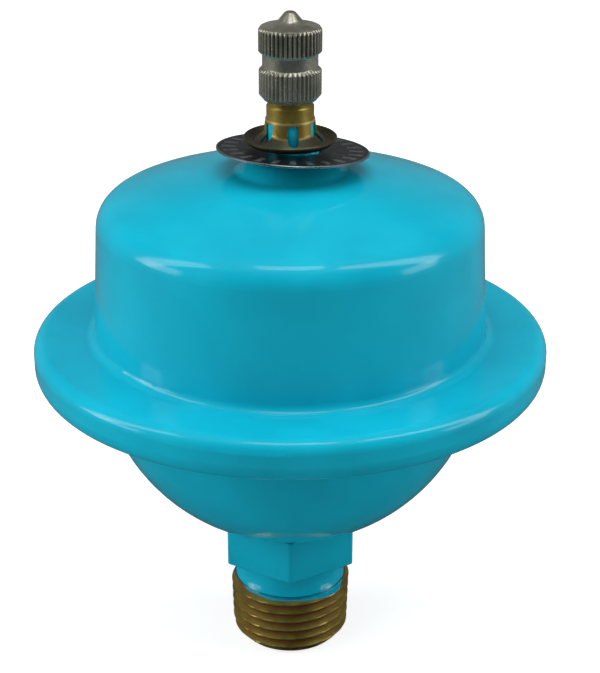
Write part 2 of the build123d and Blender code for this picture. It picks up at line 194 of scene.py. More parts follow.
@dataclass(frozen=True)
class SprayedEnamel(Finish):
    """Gloss alkyd enamel sprayed on steel: wet-looking, with a faint orange peel and dust nibs."""

    name: str = "turquoise_enamel"
    colour: str = "#12B0CB"
    thin_colour: str = "#0CA4BF"
    dust_colour: str = "#7FC3CE"
    dirt_colour: str = "#4A3A28"
    roughness: float = 0.12
    gloss: float = 0.42
    cloud_size: float = 14.0
    peel_size: float = 1.6
    peel_depth: float = 0.006
    nib_spacing: float = 3.2
    nib_size: float = 0.12
    dirt_height: float = 0.0
    dirt_band: float = 0.35

    def surface(self, graph: Graph, place: Linkable) -> Surface:
        """Write the enamel: clouds of film thickness, dust nibs, and dirt along a low edge."""
        cloud = graph.add(
            "ShaderNodeTexNoise", {"Vector": place, "Scale": per_metre(self.cloud_size), "Detail": 3.0}
        )
        film = graph.add("ShaderNodeMapRange", {"Value": cloud, "From Min": 0.35, "From Max": 0.7})
        colour = graph.add(
            "ShaderNodeMix",
            {"Factor": film, "A": linear(self.colour), "B": linear(self.thin_colour)},
            data_type="RGBA",
        )
        cells = graph.add("ShaderNodeTexVoronoi", {"Vector": place, "Scale": per_metre(self.nib_spacing)})
        nib = graph.add(
            "ShaderNodeMapRange",
            {"Value": cells.outputs["Distance"], "From Min": self.nib_size / self.nib_spacing, "From Max": 0.0},
        )
        chance = graph.add("ShaderNodeSeparateColor", {"Color": cells.outputs["Color"]})
        rare = graph.add("ShaderNodeMath", {0: chance, 1: 0.72}, operation="GREATER_THAN")
        nib = graph.add("ShaderNodeMath", {0: nib, 1: rare}, operation="MULTIPLY")
        dusted = graph.add("ShaderNodeMath", {0: nib, 1: 0.5}, operation="MULTIPLY")
        colour = graph.add(
            "ShaderNodeMix",
            {"Factor": dusted, "A": colour, "B": linear(self.dust_colour)},
            data_type="RGBA",
        )
        if self.dirt_height:
            colour = self.dirt(graph, place, colour)
        rough = graph.add(
            "ShaderNodeMapRange",
            {"Value": cloud, "From Min": 0.3, "From Max": 0.7, "To Min": self.roughness - 0.02, "To Max": self.roughness + 0.03},
        )
        peel = graph.add(
            "ShaderNodeTexNoise", {"Vector": place, "Scale": per_metre(self.peel_size), "Detail": 1.0}
        )
        relief = graph.add("ShaderNodeMath", {0: nib, 1: 2.0, 2: peel}, operation="MULTIPLY_ADD")
        return Surface(colour, 0.0, rough, relief, self.peel_depth, self.gloss)

    def dirt(self, graph: Graph, place: Linkable, colour: Linkable) -> Linkable:
        """Darken a thin broken line just above the lowest edge, where dirt and bare steel show.

        Args:
            graph: the material's tree.
            place: the point's place.
            colour: the clean enamel's colour.

        Returns:
            The colour with the dirty edge.
        """
        height = graph.add("ShaderNodeSeparateXYZ", {"Vector": place}).outputs["Z"]
        broken = graph.add("ShaderNodeTexNoise", {"Vector": place, "Scale": per_metre(2.5), "Detail": 4.0})
        low = graph.add(
            "ShaderNodeMapRange",
            {
                "Value": height,
                "From Min": (self.dirt_height + self.dirt_band) * MM,
                "From Max": self.dirt_height * MM,
            },
        )
        patch = graph.add("ShaderNodeMapRange", {"Value": broken, "From Min": 0.42, "From Max": 0.62})
        share = graph.add("ShaderNodeMath", {0: low, 1: patch}, operation="MULTIPLY")
        return graph.add(
            "ShaderNodeMix",
            {"Factor": share, "A": colour, "B": linear(self.dirt_colour)},
            data_type="RGBA",
        )


@dataclass(frozen=True)
class TurnedMetal(Finish):
    """Bare metal from the lathe: fine rings round the axis, duller in patches, dark in its grooves."""

    name: str = "turned_brass"
    colour: str = "#C2AB55"
    tarnish: str = "#937F40"
    groove_colour: str = "#8A5A34"
    metallic: float = 0.8
    roughness: float = 0.34
    patch_size: float = 3.0
    line_spacing: float = 0.22
    line_depth: float = 0.004
    grooved: bool = False
    groove_metallic: float = 0.3

    def surface(self, graph: Graph, place: Linkable) -> Surface:
        """Write the metal: tarnish in patches, turning lines, and a darker colour below the crests."""
        patch = graph.add(
            "ShaderNodeTexNoise", {"Vector": place, "Scale": per_metre(self.patch_size), "Detail": 4.0}
        )
        dull = graph.add("ShaderNodeMapRange", {"Value": patch, "From Min": 0.38, "From Max": 0.68})
        colour = graph.add(
            "ShaderNodeMix",
            {"Factor": dull, "A": linear(self.colour), "B": linear(self.tarnish)},
            data_type="RGBA",
        )
        rough = graph.add(
            "ShaderNodeMapRange",
            {"Value": patch, "From Min": 0.3, "From Max": 0.7, "To Min": self.roughness - 0.05, "To Max": self.roughness + 0.09},
        )
        metallic: Setting = self.metallic
        if self.grooved:
            cut = graph.add("ShaderNodeAttribute", attribute_name=GROOVE).outputs["Fac"]
            deep = graph.add("ShaderNodeMapRange", {"Value": cut, "From Min": 0.2, "From Max": 0.9})
            colour = graph.add(
                "ShaderNodeMix",
                {"Factor": deep, "A": colour, "B": linear(self.groove_colour)},
                data_type="RGBA",
            )
            metallic = graph.add(
                "ShaderNodeMapRange", {"Value": deep, "To Min": self.metallic, "To Max": self.groove_metallic}
            )
        height = graph.add("ShaderNodeSeparateXYZ", {"Vector": place}).outputs["Z"]
        rings = graph.add("ShaderNodeCombineXYZ", {"Z": height})
        lines = graph.add(
            "ShaderNodeTexNoise", {"Vector": rings, "Scale": per_metre(self.line_spacing), "Detail": 2.0}
        )
        return Surface(colour, metallic, rough, lines, self.line_depth)


@dataclass(frozen=True)
class PaintedMetal(Finish):
    """Enamel sprayed over a turned metal piece, ending in a ragged edge at a height, with a painted shade line in the
    inner corner at the crevice height.
    """

    name: str = "enamel_on_brass"
    paint: SprayedEnamel = field(default_factory=SprayedEnamel)
    metal: TurnedMetal = field(default_factory=TurnedMetal)
    paint_from: float = 0.0
    paint_to: float = 1000.0
    edge_width: float = 0.12
    wander: float = 0.3
    wander_size: float = 4.0
    bare_beyond: float = 1000.0
    bare_rise: float = 1.6
    # The crevice line below is painted shade for an inner corner, not a real mark.
    crevice_shade_height: float = 1000.0
    crevice_shade_width: float = 0.22
    crevice_shade_colour: str = "#06262A"
    worn_height: float = 1000.0
    worn_colour: str = "#8A7A66"

    def surface(self, graph: Graph, place: Linkable) -> Surface:
        """Write both finishes and mix them along the paint's edge."""
        paint = self.paint.surface(graph, place)
        metal = self.metal.surface(graph, place)
        split = graph.add("ShaderNodeSeparateXYZ", {"Vector": place})
        noise = graph.add(
            "ShaderNodeTexNoise", {"Vector": place, "Scale": per_metre(self.wander_size), "Detail": 2.0}
        )
        reach = self.wander * MM
        wander = graph.add(
            "ShaderNodeMapRange",
            {"Value": noise, "From Min": 0.3, "From Max": 0.7, "To Min": -reach, "To Max": reach},
        )
        lift = graph.add(
            "ShaderNodeMapRange",
            {
                "Value": split.outputs["X"],
                "From Min": self.bare_beyond * MM,
                "From Max": (self.bare_beyond + 1.2) * MM,
                "To Max": self.bare_rise * MM,
            },
        )
        edge = graph.add("ShaderNodeMath", {0: wander, 1: lift}, operation="ADD")
        over = graph.add("ShaderNodeMath", {0: split.outputs["Z"], 1: edge}, operation="SUBTRACT")
        above = self.band(graph, over, self.paint_from, self.paint_from + self.edge_width)
        below = self.band(graph, over, self.paint_to, self.paint_to - self.edge_width)
        painted = graph.add("ShaderNodeMath", {0: above, 1: below}, operation="MULTIPLY")
        chips = graph.add("ShaderNodeTexNoise", {"Vector": place, "Scale": per_metre(1.8), "Detail": 3.0})
        spots = graph.add("ShaderNodeMapRange", {"Value": chips, "From Min": 0.5, "From Max": 0.6})
        worn = self.band(graph, split.outputs["Z"], self.worn_height, self.worn_height + 0.25)
        worn = graph.add("ShaderNodeMath", {0: worn, 1: spots}, operation="MULTIPLY")
        colour = graph.add(
            "ShaderNodeMix",
            {"Factor": worn, "A": paint.colour, "B": linear(self.worn_colour)},
            data_type="RGBA",
        )
        # Painted shade: a thin dark teal line at the crevice height darkens the enamel where the neck meets the first
        # crest, as shade in that inner corner.
        half = self.crevice_shade_width / 2
        rising = self.band(graph, split.outputs["Z"], self.crevice_shade_height - half, self.crevice_shade_height)
        falling = self.band(graph, split.outputs["Z"], self.crevice_shade_height + half, self.crevice_shade_height)
        crevice = graph.add("ShaderNodeMath", {0: rising, 1: falling}, operation="MULTIPLY")
        colour = graph.add(
            "ShaderNodeMix",
            {"Factor": crevice, "A": colour, "B": linear(self.crevice_shade_colour)},
            data_type="RGBA",
        )
        colour = graph.add(
            "ShaderNodeMix", {"Factor": painted, "A": metal.colour, "B": colour}, data_type="RGBA"
        )
        bare = graph.add("ShaderNodeMix", {"Factor": painted, "A": metal.metallic, "B": 0.0})
        rough = graph.add("ShaderNodeMix", {"Factor": painted, "A": metal.roughness, "B": paint.roughness})
        relief = graph.add("ShaderNodeMix", {"Factor": painted, "A": metal.relief, "B": paint.relief})
        return Surface(colour, bare, rough, relief, self.paint.peel_depth, self.paint.gloss)

    def band(self, graph: Graph, height: Linkable, start: float, end: float) -> Linkable:
        """How far a height lies on the way from start to end, both in millimetres."""
        return graph.add(
            "ShaderNodeMapRange", {"Value": height, "From Min": start * MM, "From Max": end * MM}
        )


@dataclass(frozen=True)
class SpringBronze(Finish):
    """Stamped spring strip with a baked brown oil film, rubbed to bright brass where it grips, and a painted highlight
    on the collar's top ring.
    """

    name: str = "bronzed_spring_steel"
    film: str = "#5C5B48"
    rubbed: str = "#A8924A"
    # A pale painted highlight for the collar's top ring.
    painted_collar_highlight: str = "#E3D69A"
    metallic: float = 0.8
    roughness: float = 0.34
    rubbed_from: float = 94.9
    rubbed_to: float = 95.5
    collar_highlight_from: float = 96.95
    collar_highlight_to: float = 97.2
    mottle_size: float = 1.5

    def surface(self, graph: Graph, place: Linkable) -> Surface:
        """Write the film, mottled, the rubbed collar above it, and the pale painted highlight on the collar's top ring.
        """
        mottle = graph.add(
            "ShaderNodeTexNoise", {"Vector": place, "Scale": per_metre(self.mottle_size), "Detail": 5.0}
        )
        height = graph.add("ShaderNodeSeparateXYZ", {"Vector": place}).outputs["Z"]
        wander = graph.add("ShaderNodeMath", {0: mottle, 1: 0.4 * MM, 2: height}, operation="MULTIPLY_ADD")
        rubbed = graph.add(
            "ShaderNodeMapRange",
            {"Value": wander, "From Min": self.rubbed_from * MM, "From Max": self.rubbed_to * MM},
        )
        colour = graph.add(
            "ShaderNodeMix",
            {"Factor": rubbed, "A": linear(self.film), "B": linear(self.rubbed)},
            data_type="RGBA",
        )
        # Painted highlight: the collar's top ring is turned pale, as where light glints off it.
        painted_collar_highlight = graph.add(
            "ShaderNodeMapRange",
            {"Value": height, "From Min": self.collar_highlight_from * MM, "From Max": self.collar_highlight_to * MM},
        )
        colour = graph.add(
            "ShaderNodeMix",
            {"Factor": painted_collar_highlight, "A": colour, "B": linear(self.painted_collar_highlight)},
            data_type="RGBA",
        )
        rough = graph.add(
            "ShaderNodeMapRange",
            {"Value": mottle, "From Min": 0.3, "From Max": 0.7, "To Min": self.roughness - 0.08, "To Max": self.roughness + 0.1},
        )
        return Surface(colour, self.metallic, rough, mottle, 0.006)


@dataclass(frozen=True)
class PrintedTag(Finish):
    """Thin aluminium disc with a black baked print and plain radial ticks, bare at its cut edge."""

    name: str = "black_printed_aluminium"
    centre: tuple[float, float] = (0.4378, 0.7286)
    ink: str = "#101315"
    metal: str = "#B4BBBF"
    tick: str = "#8B9396"
    radius: float = 12.65
    margin: float = 0.22
    tick_inner: float = 9.3
    tick_outer: float = 11.7
    ticks: int = 48
    tick_share: float = 0.3
    roughness: float = 0.3

    def surface(self, graph: Graph, place: Linkable) -> Surface:
        """Write the print by radius and angle about the disc's own middle."""
        centred = graph.add(
            "ShaderNodeVectorMath",
            {0: place, 1: (self.centre[0] * MM, self.centre[1] * MM, 0)},
            operation="SUBTRACT",
        )
        flat = graph.add("ShaderNodeVectorMath", {0: centred, 1: (1, 1, 0)}, operation="MULTIPLY")
        radius = graph.add("ShaderNodeVectorMath", {0: flat}, operation="LENGTH")
        split = graph.add("ShaderNodeSeparateXYZ", {"Vector": flat})
        angle = graph.add(
            "ShaderNodeMath", {0: split.outputs["Y"], 1: split.outputs["X"]}, operation="ARCTAN2"
        )
        turns = graph.add("ShaderNodeMath", {0: angle, 1: self.ticks / math.tau}, operation="MULTIPLY")
        wave = graph.add("ShaderNodeMath", {0: turns, 1: 1.0}, operation="PINGPONG")
        on_tick = graph.add(
            "ShaderNodeMapRange",
            {"Value": wave, "From Min": self.tick_share + 0.08, "From Max": self.tick_share},
        )
        inner = graph.add(
            "ShaderNodeMath", {0: radius, 1: self.tick_inner * MM}, operation="GREATER_THAN"
        )
        outer = graph.add("ShaderNodeMath", {0: radius, 1: self.tick_outer * MM}, operation="LESS_THAN")
        ring = graph.add("ShaderNodeMath", {0: inner, 1: outer}, operation="MULTIPLY")
        on_tick = graph.add("ShaderNodeMath", {0: on_tick, 1: ring}, operation="MULTIPLY")
        scuff = graph.add("ShaderNodeTexNoise", {"Vector": place, "Scale": per_metre(1.2), "Detail": 5.0})
        kept = graph.add("ShaderNodeMapRange", {"Value": scuff, "From Min": 0.35, "From Max": 0.6})
        on_tick = graph.add("ShaderNodeMath", {0: on_tick, 1: kept}, operation="MULTIPLY")
        edge = graph.add(
            "ShaderNodeMapRange",
            {
                "Value": radius,
                "From Min": (self.radius - self.margin) * MM,
                "From Max": (self.radius - 0.6 * self.margin) * MM,
            },
        )
        printed = graph.add(
            "ShaderNodeMix",
            {"Factor": on_tick, "A": linear(self.ink), "B": linear(self.tick)},
            data_type="RGBA",
        )
        colour = graph.add(
            "ShaderNodeMix",
            {"Factor": edge, "A": printed, "B": linear(self.metal)},
            data_type="RGBA",
        )
        rough = graph.add(
            "ShaderNodeMapRange",
            {"Value": scuff, "From Min": 0.3, "From Max": 0.7, "To Min": self.roughness - 0.05, "To Max": self.roughness + 0.1},
        )
        bright = graph.add("ShaderNodeMath", {0: edge, 1: on_tick}, operation="MAXIMUM")
        return Surface(colour, bright, rough, scuff, 0.003)


@dataclass(frozen=True)
class Moulded(Finish):
    """Moulded rubber or plastic: one colour, clouded a little, with a fine matt grain."""

    name: str = "black_rubber"
    colour: str = "#1B1C1D"
    pale: str = "#2A2B2C"
    roughness: float = 0.62
    grain_size: float = 0.5
    grain_depth: float = 0.008
    cloud_size: float = 6.0

    def surface(self, graph: Graph, place: Linkable) -> Surface:
        """Write the clouded colour and the mould's grain."""
        cloud = graph.add(
            "ShaderNodeTexNoise", {"Vector": place, "Scale": per_metre(self.cloud_size), "Detail": 3.0}
        )
        grain = graph.add(
            "ShaderNodeTexNoise", {"Vector": place, "Scale": per_metre(self.grain_size), "Detail": 2.0}
        )
        colour = graph.add(
            "ShaderNodeMix",
            {"Factor": cloud, "A": linear(self.colour), "B": linear(self.pale)},
            data_type="RGBA",
        )
        rough = graph.add(
            "ShaderNodeMapRange",
            {"Value": grain, "To Min": self.roughness - 0.08, "To Max": self.roughness + 0.08},
        )
        return Surface(colour, 0.0, rough, grain, self.grain_depth)


@dataclass(frozen=True)
class Row:
    """One ring of a turned mesh: its radius and height, and how it departs from a circle.

    cut is how far grooves reach it, from 0 to 1. A hexagon row has radius as half its width
    across the flats, and drop lowers its corners, as a chamfer does.
    """

    radius: float
    height: float
    cut: float = 0.0
    hexagon: bool = False
    drop: float = 0.0


def hexagon_reach(angle: float, sharpness: float = 90.0) -> float:
    """How far a hexagon with softened corners, one of them towards -Y, reaches at an angle.

    Args:
        angle: the direction from +X, in radians.
        sharpness: the higher, the tighter the corners are rounded.

    Returns:
        The distance from the axis, in half widths across the flats.
    """
    total = sum(max(0.0, math.cos(angle - k * math.pi / 3)) ** sharpness for k in range(6))
    return total ** (-1 / sharpness)


def eased(corners: Sequence[tuple[float, float, float]], steps: int = 4) -> list[Row]:
    """Round the corners of an outline.

    Args:
        corners: radius, height and rounding of each corner; the first and last stay sharp.
        steps: how many flats make one rounding.

    Returns:
        The rows along the outline.
    """
    rows = [Row(corners[0][0], corners[0][1])]
    for before, corner, after in zip(corners, corners[1:], corners[2:]):
        here = Vector(corner[:2])
        back = (Vector(before[:2]) - here).normalized()
        on = (Vector(after[:2]) - here).normalized()
        half = back.angle(on) / 2
        if corner[2] <= 0 or half > 1.55:
            rows.append(Row(*here))
            continue
        reach = corner[2] / math.tan(half)
        start, end = here + back * reach, here + on * reach
        middle = here + (back + on).normalized() * (corner[2] / math.sin(half))
        for step in range(steps + 1):
            share = step / steps
            spoke = (start - middle).lerp(end - middle, share).normalized() * corner[2]
            rows.append(Row(*(middle + spoke)))
    rows.append(Row(corners[-1][0], corners[-1][1]))
    return rows


def divided(start: Row, end: Row, spacing: float) -> list[Row]:
    """Rows from start to end, both included, at most this spacing apart and all of them cut."""
    count = max(1, math.ceil(math.hypot(end.radius - start.radius, end.height - start.height) / spacing))
    return [
        Row(
            start.radius + (end.radius - start.radius) * i / count,
            start.height + (end.height - start.height) * i / count,
            start.cut + (end.cut - start.cut) * i / count,
        )
        for i in range(count + 1)
    ]


def turned(name: str, rows: Sequence[Row], segments: int) -> bpy.types.Object:
    """Make a closed mesh of rings about Z, with its faces outwards.

    Args:
        name: the piece's name.
        rows: the section's outline, anticlockwise with the axis at its left. Where its first and
            last rows have no radius they close as poles, and otherwise the outline closes itself.
        segments: how many points each ring has.

    Returns:
        The new object, with the rows' cut as an attribute.
    """
    angles = [math.tau * i / segments for i in range(segments)]
    points: list[tuple[float, float, float]] = []
    cuts: list[float] = []
    rings: list[list[int]] = []
    for row in rows:
        if row.radius <= 0:
            rings.append([len(points)] * segments)
            points.append((0.0, 0.0, row.height * MM))
            cuts.append(0.0)
            continue
        rings.append(list(range(len(points), len(points) + segments)))
        for angle in angles:
            reach = row.radius * (hexagon_reach(angle) if row.hexagon else 1.0)
            height = row.height - row.drop * (reach - row.radius)
            points.append((reach * math.cos(angle) * MM, reach * math.sin(angle) * MM, height * MM))
            cuts.append(row.cut)
    if rows[0].radius > 0:
        rings.append(rings[0])
    faces = []
    for low, high in zip(rings, rings[1:]):
        for i in range(segments):
            j = (i + 1) % segments
            corners = (low[i], low[j], high[j], high[i])
            unique = tuple(dict.fromkeys(corners))
            if len(unique) > 2:
                faces.append(unique)
    mesh = bpy.data.meshes.new(name)
    mesh.from_pydata(points, [], faces)
    mesh.attributes.new(CUT, "FLOAT", "POINT").data.foreach_set("value", cuts)
    made = bpy.data.objects.new(name, mesh)
    bpy.context.scene.collection.objects.link(made)
    return made


def grooves_tree() -> bpy.types.NodeTree:
    """The tree that cuts V grooves in a turned mesh: a thread's helix or a straight knurl.

    A point is moved along its radius down to the groove's wall, as far as its cut attribute says.

    Returns:
        The geometry tree, made once.
    """
    known = bpy.data.node_groups.get("cut_grooves")
    if known:
        return known
    tree = bpy.data.node_groups.new("cut_grooves", "GeometryNodeTree")
    tree.is_modifier = True
    tree.interface.new_socket("Geometry", in_out="OUTPUT", socket_type="NodeSocketGeometry")
    tree.interface.new_socket("Geometry", in_out="INPUT", socket_type="NodeSocketGeometry")
    for size in ("Crest Radius", "Taper", "Depth", "Grooves Per Metre", "Grooves Per Turn", "Shift", "Flat", "Side"):
        tree.interface.new_socket(size, in_out="INPUT", socket_type="NodeSocketFloat")
    tree.interface.new_socket("Material", in_out="INPUT", socket_type="NodeSocketMaterial")
    graph = Graph(tree)
    given = graph.add("NodeGroupInput").outputs
    place = graph.add("ShaderNodeSeparateXYZ", {"Vector": graph.add("GeometryNodeInputPosition")}).outputs
    angle = graph.add("ShaderNodeMath", {0: place["Y"], 1: place["X"]}, operation="ARCTAN2")
    turn = graph.add("ShaderNodeMath", {0: angle, 1: 1 / math.tau}, operation="MULTIPLY")
    square = graph.add("ShaderNodeMath", {0: place["X"], 1: place["X"]}, operation="MULTIPLY")
    square = graph.add("ShaderNodeMath", {0: place["Y"], 1: place["Y"], 2: square}, operation="MULTIPLY_ADD")
    radius = graph.add("ShaderNodeMath", {0: square}, operation="SQRT")
    phase = graph.add(
        "ShaderNodeMath",
        {0: place["Z"], 1: given["Grooves Per Metre"], 2: given["Shift"]},
        operation="MULTIPLY_ADD",
    )
    phase = graph.add("ShaderNodeMath", {0: turn, 1: given["Grooves Per Turn"], 2: phase}, operation="MULTIPLY_ADD")
    wave = graph.add("ShaderNodeMath", {0: phase, 1: 0.5}, operation="PINGPONG")
    wide = graph.add("ShaderNodeMath", {0: given["Flat"], 1: 2.0, 2: 1.0}, operation="MULTIPLY_ADD")
    wave = graph.add("ShaderNodeMath", {0: wave, 1: -2.0, 2: 1.0}, operation="MULTIPLY_ADD")
    wave = graph.add("ShaderNodeMath", {0: wave, 1: wide}, operation="MULTIPLY")
    wave = graph.add("ShaderNodeMath", {0: wave, 1: given["Flat"]}, operation="SUBTRACT")
    wave = graph.add("ShaderNodeClamp", {"Value": wave})
    crest = graph.add(
        "ShaderNodeMath", {0: place["Z"], 1: given["Taper"], 2: given["Crest Radius"]}, operation="MULTIPLY_ADD"
    )
    crest = graph.add("ShaderNodeMath", {0: crest, 1: given["Side"]}, operation="MULTIPLY")
    deep = graph.add("ShaderNodeMath", {0: wave, 1: given["Depth"]}, operation="MULTIPLY")
    wall = graph.add("ShaderNodeMath", {0: crest, 1: deep}, operation="SUBTRACT")
    sided = graph.add("ShaderNodeMath", {0: radius, 1: given["Side"]}, operation="MULTIPLY")
    wall = graph.add("ShaderNodeMath", {0: sided, 1: wall}, operation="MINIMUM")
    taken = graph.add("ShaderNodeMath", {0: sided, 1: wall}, operation="SUBTRACT")
    share = graph.add("ShaderNodeMath", {0: taken, 1: given["Depth"]}, operation="DIVIDE")
    wall = graph.add("ShaderNodeMath", {0: wall, 1: given["Side"]}, operation="MULTIPLY")
    scale = graph.add("ShaderNodeMath", {0: wall, 1: radius}, operation="DIVIDE")
    change = graph.add("ShaderNodeMath", {0: scale, 1: 1.0}, operation="SUBTRACT")
    weight = graph.add("GeometryNodeInputNamedAttribute", {"Name": CUT}, data_type="FLOAT")
    change = graph.add("ShaderNodeMath", {0: change, 1: weight.outputs["Attribute"]}, operation="MULTIPLY")
    shift_x = graph.add("ShaderNodeMath", {0: change, 1: place["X"]}, operation="MULTIPLY")
    shift_y = graph.add("ShaderNodeMath", {0: change, 1: place["Y"]}, operation="MULTIPLY")
    offset = graph.add("ShaderNodeCombineXYZ", {"X": shift_x, "Y": shift_y})
    marked = graph.add("ShaderNodeMath", {0: share, 1: weight.outputs["Attribute"]}, operation="MULTIPLY")
    kept = graph.add(
        "GeometryNodeStoreNamedAttribute",
        {"Geometry": given["Geometry"], "Name": GROOVE, "Value": marked},
        data_type="FLOAT",
        domain="POINT",
    )
    moved = graph.add("GeometryNodeSetPosition", {"Geometry": kept, "Offset": offset})
    real = graph.add("GeometryNodeRealizeInstances", {"Geometry": moved})
    dressed = graph.add("GeometryNodeSetMaterial", {"Geometry": real, "Material": given["Material"]})
    graph.add("NodeGroupOutput", {"Geometry": dressed})
    return tree


def coil_tree() -> bpy.types.NodeTree:
    """The tree that winds a coil spring of round wire about Z.

    Returns:
        The geometry tree, made once.
    """
    tree = bpy.data.node_groups.new("coil_spring", "GeometryNodeTree")
    tree.is_modifier = True
    tree.interface.new_socket("Geometry", in_out="OUTPUT", socket_type="NodeSocketGeometry")
    tree.interface.new_socket("Geometry", in_out="INPUT", socket_type="NodeSocketGeometry")
    for size in ("Turns", "Coil Radius", "Wire Radius", "Bottom", "Rise"):
        tree.interface.new_socket(size, in_out="INPUT", socket_type="NodeSocketFloat")
    tree.interface.new_socket("Material", in_out="INPUT", socket_type="NodeSocketMaterial")
    graph = Graph(tree)
    given = graph.add("NodeGroupInput").outputs
    path = graph.add(
        "GeometryNodeCurveSpiral",
        {
            "Resolution": 24,
            "Rotations": given["Turns"],
            "Start Radius": given["Coil Radius"],
            "End Radius": given["Coil Radius"],
            "Height": given["Rise"],
        },
    )
    wire = graph.add("GeometryNodeCurvePrimitiveCircle", {"Resolution": 10, "Radius": given["Wire Radius"]})
    coil = graph.add(
        "GeometryNodeCurveToMesh", {"Curve": path, "Profile Curve": wire, "Fill Caps": True}
    )
    lift = graph.add("ShaderNodeCombineXYZ", {"Z": given["Bottom"]})
    moved = graph.add("GeometryNodeSetPosition", {"Geometry": coil, "Offset": lift})
    real = graph.add("GeometryNodeRealizeInstances", {"Geometry": moved})
    dressed = graph.add("GeometryNodeSetMaterial", {"Geometry": real, "Material": given["Material"]})
    graph.add("NodeGroupOutput", {"Geometry": dressed})
    return tree


def baked(obj: bpy.types.Object, tree: bpy.types.NodeTree, values: dict[str, Setting]) -> bpy.types.Object:
    """Run a geometry tree on an object and keep the result as its plain mesh.

    Args:
        obj: the object.
        tree: the geometry tree.
        values: the tree's inputs by name.

    Returns:
        The same object, without a modifier.
    """
    modifier = obj.modifiers.new(tree.name, "NODES")
    modifier.node_group = tree
    sockets = {s.name: s.identifier for s in tree.interface.items_tree if s.in_out == "INPUT"}
    for name, value in values.items():
        modifier[sockets[name]] = value
    bpy.context.view_layer.update()
    depsgraph = bpy.context.evaluated_depsgraph_get()
    mesh = bpy.data.meshes.new_from_object(obj.evaluated_get(depsgraph), depsgraph=depsgraph)
    obj.modifiers.clear()
    obj.data = mesh
    return obj


def smoothed(obj: bpy.types.Object) -> bpy.types.Object:
    """Shade a mesh smooth, apart from its real edges."""
    obj.data.shade_smooth()
    obj.data.set_sharp_from_angle(angle=SMOOTH_ANGLE)
    return obj


def placed(obj: bpy.types.Object, body: Body, slot: str, *nodes: str) -> bpy.types.Object:
    """Let a finished piece ride on its body and stand for its CAD nodes.

    Args:
        obj: the piece.
        body: the body that it moves with.
        slot: the record's material slot; not used.
        nodes: the CAD nodes that it replaces.

    Returns:
        The piece.
    """
    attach(obj, body.value)
    if nodes:
        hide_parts(*nodes)
    LOG.info("%s on %s: %d points", obj.name, body.value, len(obj.data.vertices))
    return obj


def dress(node: str, finish: Finish) -> None:
    """Give a CAD node that is shown its finish."""
    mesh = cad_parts[node].data
    mesh.materials.clear()
    mesh.materials.append(finish.material())
    LOG.info("%s: %s", node, finish.name)


ENAMEL = SprayedEnamel()


@dataclass
class Vessel:
    """The pressed steel shells and what is clamped between them, from the frame as they are."""

    lip_height: float = field(default_factory=lambda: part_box("upper_shell")[0].z / MM)

    def build(self) -> None:
        """Dress the shells and the liner."""
        dress("upper_shell", SprayedEnamel(name="enamel_on_cover", dirt_height=self.lip_height))
        dress("lower_shell", ENAMEL)
        dress("bowl_liner", Moulded("moulded_polypropylene", "#D9D6C8", "#E6E3D8", 0.42, 0.8, 0.005))


